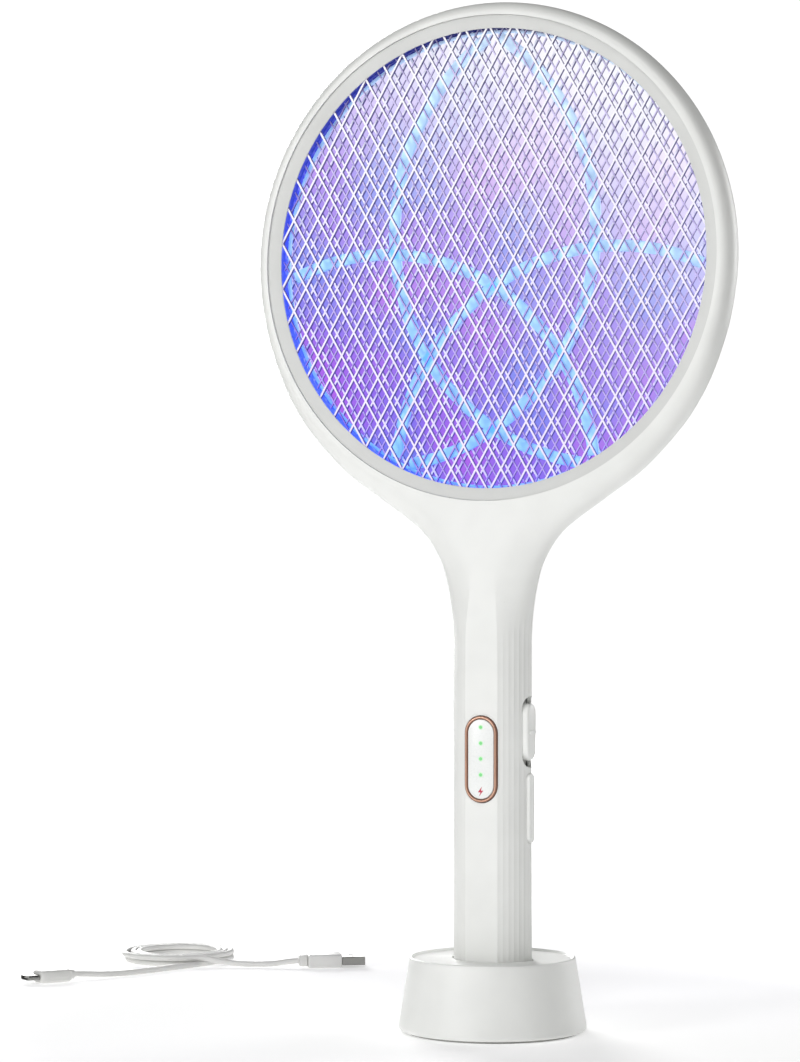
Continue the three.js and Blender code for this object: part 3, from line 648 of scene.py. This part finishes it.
def make_bezels():
    """Rings whose visible face slopes inwards to the opening."""
    inside = GRID_Y + GRID_THICK / 2 + 0.3
    outer = RIM_R - 0.08
    corners = [(OPENING_R, inside), (outer, inside), (outer, HEAD_HALF - 0.9), (OPENING_R, HEAD_HALF - 2.9)]
    outline = rounded(corners, 0.25, 4)
    for name, side in (("front_bezel", 1), ("rear_bezel", -1)):
        mesh = turned_head([(r, side * y) for r, y in outline])
        piece(f"{name}_ring", mesh, MATS["bezel_grey"], "swatter", [name])


def make_light_rings():
    """Ribbed inner wall between the grids."""
    teeth, per_tooth = 180, 4
    wave = [0, 0.35, 0.5, 0.35]
    angles = np.linspace(0, 2 * math.pi, teeth * per_tooth, endpoint=False)
    inner = [FRAME_IN_R + 0.05 + wave[i % per_tooth] for i in range(len(angles))]
    spans = (("light_ring_front", RIB_LOW, RIB_HIGH), ("light_ring_rear", -RIB_HIGH, -RIB_LOW))
    for name, low, high in spans:
        profile = [(0, low), (0, high), (1, high), (1, low), (0, low)]
        points = []
        for outside, h in profile:
            for a, r in zip(angles, inner):
                radius = LIGHT_RING_R if outside else r
                points.append((radius * math.cos(a), radius * math.sin(a), h))
        mesh = mesh_of(name, points, grid_faces(5, len(angles), wrap=True))
        mesh = moved(mesh, (0, 0, HEAD_Z), ON_HEAD)
        piece(f"{name}_wall", mesh, MATS["light_ring"], "swatter", [name], 25)


def circle_through(a, b, c):
    """Centre and radius of the circle through three points."""
    (ax, ay), (bx, by), (cx, cy) = a, b, c
    d = 2 * (ax * (by - cy) + bx * (cy - ay) + cx * (ay - by))
    ux = ((ax**2 + ay**2) * (by - cy) + (bx**2 + by**2) * (cy - ay) + (cx**2 + cy**2) * (ay - by)) / d
    uy = ((ax**2 + ay**2) * (cx - bx) + (bx**2 + by**2) * (ax - cx) + (cx**2 + cy**2) * (bx - ax)) / d
    return np.array([ux, uy]), math.hypot(ax - ux, ay - uy)


def rib_mesh(arc):
    """Rib along a circle's arc; its start, middle and end are in opening radii."""
    start, middle, end = (np.array(p) * OPENING_R for p in arc)
    centre, radius = circle_through(start, middle, end)
    angles = [math.atan2(*(p - centre)[::-1]) for p in (start, middle, end)]
    span = (angles[2] - angles[0]) % (2 * math.pi)
    if (angles[1] - angles[0]) % (2 * math.pi) > span:
        span -= 2 * math.pi
    half = RIB_WIDTH / 2
    outline = rounded([(-half, RIB_LOW), (half, RIB_LOW), (half, RIB_HIGH), (-half, RIB_HIGH)], 0.6, 3)
    rings = []
    for t in np.linspace(0, 1, 97):
        angle = angles[0] + span * t
        direction = np.array([math.cos(angle), math.sin(angle)])
        ring = []
        for across, y in outline:
            p = centre + direction * (radius + across)
            ring.append((p[0], y, HEAD_Z + p[1]))
        rings.append(ring)
    return loft(rings)


def make_ribs():
    """Two curved ribs and their mirror images, held by a thin rim."""
    arcs = [
        [(-0.03, 0.97), (-0.473, 0.07), (0.4, -0.89)],
        [(-0.96, -0.05), (0.054, -0.154), (0.465, -0.86)],
    ]
    flipped = [[(-x, z) for x, z in arc] for arc in arcs]
    inner, low, high = OPENING_R - 1.2, -RIB_HIGH, -RIB_LOW
    edge = rounded([(inner, low), (OPENING_R, low), (OPENING_R, high), (inner, high)], 0.5, 3)
    mesh = joined([rib_mesh(arc) for arc in arcs + flipped] + [turned_head(edge, 192)])
    piece("rib_frame_curves", mesh, MATS["rib_blue"], "swatter", ["rib_frame"], 40)


def make_glow():
    """Disc of violet light just behind the rear grid; it belongs to the stage."""
    radius, y = OPENING_R - 0.2, GRID_Y + GRID_THICK / 2 + 0.6
    sides = 128
    angles = np.linspace(0, 2 * math.pi, sides, endpoint=False)
    points = [(radius * math.cos(a), y, HEAD_Z + radius * math.sin(a)) for a in angles]
    obj = bpy.data.objects.new("violet_glow", mesh_of("violet_glow", points, [tuple(range(sides))]))
    bpy.context.scene.collection.objects.link(obj)
    obj.data.materials.append(glow_material())
    obj.visible_shadow = False
    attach(obj, "swatter")


# ---------------------------------------------------------------- handle details
def make_panel():
    """Rose-gold ring with the band over its groove lit and the rest in painted shade, the window, four green
    dots and a red bolt.
    """
    length, width = PANEL_LENGTH - 1, PANEL_WIDTH - 1
    levels = [  # inset and depth, from the outside round to the inside
        (0, 11.2), (0, 13.7), (0.12, 14.0), (0.38, 14.15), (0.5, 14.0), (0.82, 14.0), (0.95, 14.15),
        (1.2, 13.95), (1.35, 13.6), (1.35, 11.2),
    ]
    rings = []
    for inset, depth in levels + levels[:1]:
        outline = pill_outline(length - 2 * inset, width - 2 * inset, 28)
        rings.append([(x, -depth, PANEL_Z + z) for x, z in outline])
    golds = [MATS["rose_gold_painted_shade"], MATS["trim_rose_gold"]]
    mesh = loft(rings, closed=False)
    trim = piece("indicator_ring", mesh, golds, "swatter", ["indicator_trim"], 50)
    straight = (PANEL_LENGTH - PANEL_WIDTH) / 2
    # the band over the groove keeps the lit rose gold, the rest of the ring takes the painted shade
    for face in trim.data.polygons:
        x, _, z = face.center / MM
        reach = math.hypot(x, max(0, abs(z - PANEL_Z) - straight))
        face.material_index = 1 if width / 2 - 0.95 < reach < width / 2 - 0.3 else 0
    levels = [(0, 11.6), (0, 13.45), (0.15, 13.7), (0.5, 13.8)]
    window = moved(pill(PANEL_LENGTH - 4.0, PANEL_WIDTH - 4.0, levels, 28), (0, 0, PANEL_Z))
    white = MATS["indicator_window"]
    piece("indicator_face", window, white, "swatter", ["indicator_window"], 40)
    glow = {"Emission_Color": srgb(120, 215, 130), "Emission_Strength": 0.25}
    green = finish_material("lamp_green", (120, 205, 128), 0.3, **glow)
    glow = {"Emission_Color": srgb(190, 240, 190), "Emission_Strength": 0.1}
    halo = finish_material("lamp_halo", (206, 238, 204), 0.3, **glow)
    sides = 24
    angles = np.linspace(0, 2 * math.pi, sides, endpoint=False)
    dome = [(0, -13.86), (LED_R, -13.85), (HALO_R, -13.82), (HALO_R, -13.7)]
    points, faces = [], []
    for z in LED_Z:
        base = len(points)
        for r, y in dome:
            points += [(r * math.cos(a), y, PANEL_Z + z + r * math.sin(a)) for a in angles]
        faces += grid_faces(len(dome), sides, wrap=True, start=base)
    mesh = mesh_of("lamps", points, faces)
    lamps = piece("charge_lamps", mesh, [green, halo], "swatter", angle=60)
    for face in lamps.data.polygons:
        x, _, z = face.center / MM
        face.material_index = 0 if min(math.hypot(x, z - PANEL_Z - led) for led in LED_Z) < 0.6 else 1
    red = finish_material("bolt_red", (198, 62, 84), 0.35)
    outline = [(0.6, 2.2), (-1.3, -0.4), (-0.1, -0.35), (-0.75, -2.2), (1.3, 0.45), (0.15, 0.35)]
    rings = [[(x, y, PANEL_Z + BOLT_Z + z) for x, z in outline] for y in (-13.7, -13.85)]
    piece("charge_bolt", loft(rings), red, "swatter")


def make_controls():
    """The slide knob with its ridge and peg, and the button with its flange."""
    white = MATS["shell_white"]
    edge = [(0, 15.3), (0, 18.1), (0.12, 18.6), (0.45, 19.0), (1.0, 19.2)]
    cap = side_pill(*KNOB, edge, SWITCH_Z)
    ridge = rounded([(-3.4, -0.65), (3.4, -0.65), (3.4, 0.65), (-3.4, 0.65)], 0.4, 4)
    bar = loft([[(x, y, SWITCH_Z + z) for y, z in ridge] for x in (18.9, 19.7)])
    peg = box_mesh((12.1, -1, SWITCH_Z - 1), (15.4, 1, SWITCH_Z + 1))
    mesh = joined([cap, bar, peg])
    piece("slide_knob_cap", mesh, white, "slide_knob", ["slide_knob"], 40)
    edge = [(0, 14.9), (0, 18.8), (0.15, 19.1), (0.45, 19.33), (0.9, 19.4)]
    cap = side_pill(*BUTTON, edge, BUTTON_Z)
    flange = box_mesh((14.4, -3.4, BUTTON_Z - 16.2), (15.2, 3.4, BUTTON_Z + 16.2))
    mesh = joined([cap, flange])
    piece("zap_button_cap", mesh, white, "zap_button", ["zap_button"], 40)


def make_shell_screws():
    """Pan heads with a cross recess."""
    profile = [(0, -1.65), (2.45, -1.65), (2.5, -0.9), (2.2, -0.35), (1.4, -0.05), (0, 0)]
    for i, (x, z, back, tip) in enumerate(SHELL_SCREWS):
        head = turned([(r, back + h) for r, h in profile], 48)
        for turn in (0, 90):
            bar = box_mesh((-1.35, -0.28, back - 0.75), (1.35, 0.28, back + 1))
            bar.transform(Matrix.Rotation(math.radians(turn + 20 * i), 4, "Z"))
            head = combine(head, bar, "DIFFERENCE")
        under = back - 1.6
        shank = turned([(0, tip), (0.9, tip + 0.4), (1.25, tip + 1.6), (1.25, under), (0, under)], 24)
        mesh = moved(joined([head, shank]), (x, 0, z), Matrix.Rotation(math.radians(-90), 4, "X"))
        name = f"shell_screw_{i + 1}"
        piece(f"{name}_cross", mesh, MATS["steel"], "swatter", [name], 35)


# ---------------------------------------------------------------- dock
def oval(grow, z):
    """The handle's own faceted section, grown by an offset."""
    corners = [grip_point(degrees) * (GRIP_A + grow, GRIP_B + grow) for degrees in FACET_EDGES[1:]]
    right = [(x, -y, z) for x, y in corners] + [(x, y, z) for x, y in corners[-2::-1]]
    return right + [(-x, -y, z) for x, y, z in right]


def make_dock():
    """The dock's cover with its raised rim, the mouth of the socket and the port's hole."""
    outside = [
        (0, DOCK_FOOT), (40.6, DOCK_FOOT), (41.5, 1.25), (41.9, 1.8), (DOCK_R, 2.5), (41.95, 3.2),
        (39.6, 18), (37.28, 32.0), (37.2, 32.7), (36.95, 33.2), (36.55, 33.45), (36.1, 33.45), (35.8, 33.2),
        (35.62, 32.75), (35.3, 32.45), (34.9, DOCK_DECK), (0, DOCK_DECK),
    ]
    inside = [(0, 0), (39.9, 0), (35.0, 30.4), (0, 30.4)]
    shell = combine(turned(outside, 192), turned(inside, 64), "DIFFERENCE")
    mouth = loft([oval(SOCKET_CLEARANCE, z) for z in (25, 40)])
    shell = combine(shell, mouth, "DIFFERENCE")
    port = pill(9.8, 4.1, [(0, -45), (0, -35)])
    port.transform(Matrix.Rotation(math.radians(90), 4, "Y"))
    shell = combine(shell, moved(port, (0, 0, PORT_Z)), "DIFFERENCE")
    piece("dock_cover", shell, MATS["dock_white"], "dock", ["dock_shell"], 22)


# ---------------------------------------------------------------- charging cable
def cable_point(point):
    """The cable's own layout turned about the dock, in metres."""
    return tuple(Matrix.Rotation(math.radians(CABLE_TURN), 3, "Z") @ Vector(point) * MM)


def coil_points():
    """Turns wound inwards on the floor, then back out on top of them."""
    moves = [  # from, to (degrees wound), change of radius
        (300, 352, -3), (660, 712, -3), (1326, 1366, 3), (1686, 1726, 3), (2000, 2066, 3),
    ]
    made = []
    for turned_by in np.linspace(0, COIL_END, 100):
        radius = COIL_R + sum(change * smoothstep(turned_by, low, high) for low, high, change in moves)
        z = 1.55 + 3.05 * smoothstep(turned_by, 1006, 1046) + 0.15 * smoothstep(turned_by, 2040, COIL_END)
        angle = math.radians(COIL_START + turned_by)
        made.append((COIL[0] + radius * math.cos(angle), COIL[1] + radius * math.sin(angle), z))
    return made


def make_cable(plugs):
    route = [cable_point(p) for p in RUN_C + coil_points() + RUN_A]
    curve = bpy.data.curves.new("charging_cable", "CURVE")
    curve.dimensions = "3D"
    curve.bevel_depth = CABLE_D / 2 * MM
    curve.bevel_resolution = 5
    curve.resolution_u = 8
    curve.use_fill_caps = True
    spline = curve.splines.new("BEZIER")
    spline.bezier_points.add(len(route) - 1)
    for knot, p in zip(spline.bezier_points, route):
        knot.co = p
        knot.handle_left_type = knot.handle_right_type = "AUTO"
    cord = bpy.data.objects.new("charging_cord", curve)
    bpy.context.scene.collection.objects.link(cord)
    curve.materials.append(MATS["cable_white"])
    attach(cord, "charging_cable")
    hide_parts("cable_coil", "cable_run_c", "cable_run_a")


def rounded_bar(width, height, radius, stations, steps=6):
    """Bar along X; stations are (x, shrink) from one end to the other."""
    rings = []
    for x, shrink in stations:
        w, h = width / 2 - shrink, height / 2 - shrink
        outline = rounded([(-w, -h), (w, -h), (w, h), (-w, h)], max(0.05, radius - shrink / 2), steps)
        rings.append([(x, y, z) for y, z in outline])
    return loft(rings)


def place_plug(mesh, plug):
    """A plug's mesh, made along X, put at its end of the cable."""
    x, y, z, heading = plug
    turn = Matrix.Rotation(math.radians(CABLE_TURN), 4, "Z")
    local = Matrix.Translation(Vector((x, y, z)) * MM) @ Matrix.Rotation(math.radians(heading), 4, "Z")
    mesh.transform(turn @ local)
    return mesh


def make_plugs():
    """Collar, body and metal tip of the USB-C plug and the USB-A plug."""
    c_sleeve = turned([(0, 0.3), (2.1, 0.3), (2.3, 0.7), (2.3, 2.7), (2.2, 3), (0, 3)], 40)
    c_sleeve.transform(Matrix.Rotation(math.radians(90), 4, "Y"))
    stations = [
        (3.3, 1.4), (3.5, 0.7), (4.2, 0.15), (5.2, 0), (18.9, 0), (19.9, 0.2), (20.4, 0.7), (20.5, 1.0),
    ]
    c_body = rounded_bar(11.6, 6.3, 3.1, stations, 8)
    c_tip = rounded_bar(8.3, 2.5, 1.25, [(20.8, 0.05), (20.9, 0), (27.2, 0), (27.4, 0.12)], 8)
    c_tip = combine(c_tip, rounded_bar(7.5, 1.7, 0.85, [(22, 0), (29, 0)], 8), "DIFFERENCE")
    tongue = rounded_bar(6.6, 0.7, 0.1, [(21.9, 0), (26.4, 0)], 2)
    a_sleeve = rounded_bar(5.8, 5.6, 1.0, [(0.3, 0.2), (0.5, 0), (4.2, 0), (4.4, 0.1)])
    stations = [(4.7, 0.5), (4.9, 0.2), (5.5, 0), (21.2, 0), (21.8, 0.2), (22, 0.5)]
    a_body = rounded_bar(13.6, 6.9, 1.4, stations)
    a_shell = rounded_bar(12, 4.5, 0.5, [(22.3, 0), (33.9, 0), (34, 0.1)], 3)
    a_shell = combine(a_shell, box_mesh((24, -5.65, -0.3), (35, 5.65, 1.95)), "DIFFERENCE")
    windows = joined([box_mesh((26.5, y - 1.1, 1), (28.9, y + 1.1, 3)) for y in (-2.8, 2.8)])
    a_shell = combine(a_shell, windows, "DIFFERENCE")
    parts = [
        ("usb_c_sleeve", c_sleeve, PLUG_C, "usb_c_collar", "cable_white", 30),
        ("usb_c_grip", c_body, PLUG_C, "usb_c_body", "cable_white", 40),
        ("usb_c_shell", joined([c_tip, tongue]), PLUG_C, "usb_c_tip", "plug_metal", 40),
        ("usb_a_sleeve", a_sleeve, PLUG_A, "usb_a_collar", "cable_white", 40),
        ("usb_a_grip", a_body, PLUG_A, "usb_a_body", "cable_white", 40),
        ("usb_a_socket_shell", a_shell, PLUG_A, "usb_a_shell", "plug_metal", 30),
    ]
    return [
        piece(name, place_plug(mesh, plug), MATS[slot], "charging_cable", [node], angle)
        for name, mesh, plug, node, slot, angle in parts
    ]


# ---------------------------------------------------------------- CAD pieces that stay
PART_MATERIALS = {
    "cell_wrap": ["battery_cell"],
    "transformer": ["step_up_transformer"],
    "capacitor": ["high_voltage_capacitor"],
    "lead_copper": ["charged_grid_lead", "lamp_lead"],
    "circuit_board": ["main_board", "dock_board", "uv_lamp_board"],
    "foot_rubber": ["dock_foot_ring"],
    "contact_gold": ["contact_pad_left", "contact_pad_right", "contact_pin_left", "contact_pin_right"],
    "part_black": ["outer_grid_lead", "contact_block", "tact_switch", "tact_plunger"],
    "steel": ["dock_ballast", "slide_switch", "usb_c_port"],
    "clear_plastic": ["light_guide"],
    "dock_white": ["dock_socket", "dock_base_plate"],
}


def finish_cad_nodes():
    """Every CAD node takes its part's material, or else that of its slot in the record."""
    chosen = {}
    for entry in frame["record"]["materials"]:
        chosen.update({node: entry["slot"] for node in entry.get("nodes", [])})
    for key, parts in PART_MATERIALS.items():
        chosen.update({part: key for part in parts})
    for name, obj in NODES.items():
        if name.startswith("uv_led"):
            chosen[name] = "uv_lamp"
        elif name.startswith("dock_screw"):
            chosen[name] = "steel"
        obj.data.materials.clear()
        obj.data.materials.append(MATS.get(chosen.get(name), MATS["shell_white"]))


# ---------------------------------------------------------------- surroundings
FLOOR_R = 0.8  # metres, as everything below
FAR_FLOOR_R = 40
FLOOR_WHITE = [(0.2, 0.3), (0.6, 1.0)]  # distance, glow


def floor_material(name, glow_from, glow_to):
    """White paper that glows more and more with its distance from the dock."""
    material, nodes, links, shader = node_material(name)
    shader.inputs["Base Color"].default_value = (0.92, 0.92, 0.92, 1)
    shader.inputs["Roughness"].default_value = 0.9
    shader.inputs["Specular IOR Level"].default_value = 0.0
    shader.inputs["Emission Color"].default_value = (1, 1, 1, 1)
    coords = nodes.new("ShaderNodeTexCoord")
    distance = nodes.new("ShaderNodeVectorMath")
    distance.operation = "LENGTH"
    links.new(coords.outputs["Object"], distance.inputs[0])
    glow = nodes.new("ShaderNodeMapRange")
    for end, (metres, strength) in zip(("Min", "Max"), (glow_from, glow_to)):
        glow.inputs[f"From {end}"].default_value = metres
        glow.inputs[f"To {end}"].default_value = strength
    links.new(distance.outputs["Value"], glow.inputs["Value"])
    links.new(glow.outputs["Result"], shader.inputs["Emission Strength"])
    return material


def make_floor():
    """A round floor under the object, and a far one that only the camera sees."""
    sides = 96
    angles = np.linspace(0, 2 * math.pi, sides, endpoint=False)
    for name, radius, height in (("floor", FLOOR_R, 0), ("far_floor", FAR_FLOOR_R, -0.0004)):
        points = [(radius * math.cos(a), radius * math.sin(a), height) for a in angles]
        mesh = bpy.data.meshes.new(name)
        mesh.from_pydata(points, [], [range(sides)])
        floor = bpy.data.objects.new(name, mesh)
        bpy.context.scene.collection.objects.link(floor)
        mesh.materials.append(floor_material(name, *FLOOR_WHITE))
        floor.visible_diffuse = floor.visible_glossy = name == "floor"


STUDIO = 0.02
BACKDROP = 1.1
LIGHTS = [  # azimuth and elevation in degrees, width, watts
    (-30, 12, 0.5, 13),
    (-10, 12, 1.0, 4),
    (20, 45, 1.0, 19),
    (-140, 12, 1.0, 48),
    (150, 12, 1.0, 17),
]
LIGHT_DISTANCE = 2.2
LIGHT_AIM = Vector((0, 0, 0.2))


def make_lamp(azimuth, elevation, width, power):
    """A softbox that looks at the object; azimuth counts from the front to the right."""
    data = bpy.data.lights.new("softbox", "AREA")
    data.size, data.energy = width, power
    lamp = bpy.data.objects.new("softbox", data)
    bpy.context.scene.collection.objects.link(lamp)
    a, e = math.radians(azimuth), math.radians(elevation)
    away = Vector((math.sin(a) * math.cos(e), -math.cos(a) * math.cos(e), math.sin(e)))
    lamp.location = away * LIGHT_DISTANCE + LIGHT_AIM
    lamp.rotation_euler = away.to_track_quat("Z", "Y").to_euler()


def make_light():
    """White backdrop for the camera, an even studio for everything else, and softboxes."""
    world = bpy.data.worlds.new("studio")
    bpy.context.scene.world = world
    world.use_nodes = True
    nodes, links = world.node_tree.nodes, world.node_tree.links
    nodes.clear()
    output = nodes.new("ShaderNodeOutputWorld")
    studio, backdrop = (nodes.new("ShaderNodeBackground") for _ in range(2))
    for background, strength in ((studio, STUDIO), (backdrop, BACKDROP)):
        background.inputs["Color"].default_value = (1, 1, 1, 1)
        background.inputs["Strength"].default_value = strength
    rays = nodes.new("ShaderNodeLightPath")
    mix = nodes.new("ShaderNodeMixShader")
    links.new(rays.outputs["Is Camera Ray"], mix.inputs["Fac"])
    links.new(studio.outputs["Background"], mix.inputs[1])
    links.new(backdrop.outputs["Background"], mix.inputs[2])
    links.new(mix.outputs["Shader"], output.inputs["Surface"])
    bpy.context.scene.view_settings.view_transform = "Standard"
    for light in LIGHTS:
        make_lamp(*light)


CAMERA_AZIMUTH = 22.5  # degrees from the front to the right
CAMERA_PAN = 1.606  # degrees, which puts the dock right of the middle
CAMERA_PITCH = 90.33  # degrees; 90 is level
CAMERA_DISTANCE = 1.477
CAMERA_HEIGHT = 0.215
LENS = 111.86  # mm, with a sensor 36 mm wide
SENSOR = 36


def make_camera():
    data = bpy.data.cameras.new("camera")
    data.lens = LENS
    data.sensor_width = SENSOR
    camera = bpy.data.objects.new("camera", data)
    bpy.context.scene.collection.objects.link(camera)
    azimuth = math.radians(CAMERA_AZIMUTH)
    camera.location = (
        CAMERA_DISTANCE * math.sin(azimuth), -CAMERA_DISTANCE * math.cos(azimuth), CAMERA_HEIGHT,
    )
    camera.rotation_euler = (math.radians(CAMERA_PITCH), 0, math.radians(CAMERA_AZIMUTH + CAMERA_PAN))
    bpy.context.scene.camera = camera


make_camera()
make_cable(make_plugs())
make_shells()
make_bezels()
make_grids()
make_light_rings()
make_ribs()
make_glow()
make_panel()
make_controls()
make_shell_screws()
make_dock()
finish_cad_nodes()
make_floor()
make_light()
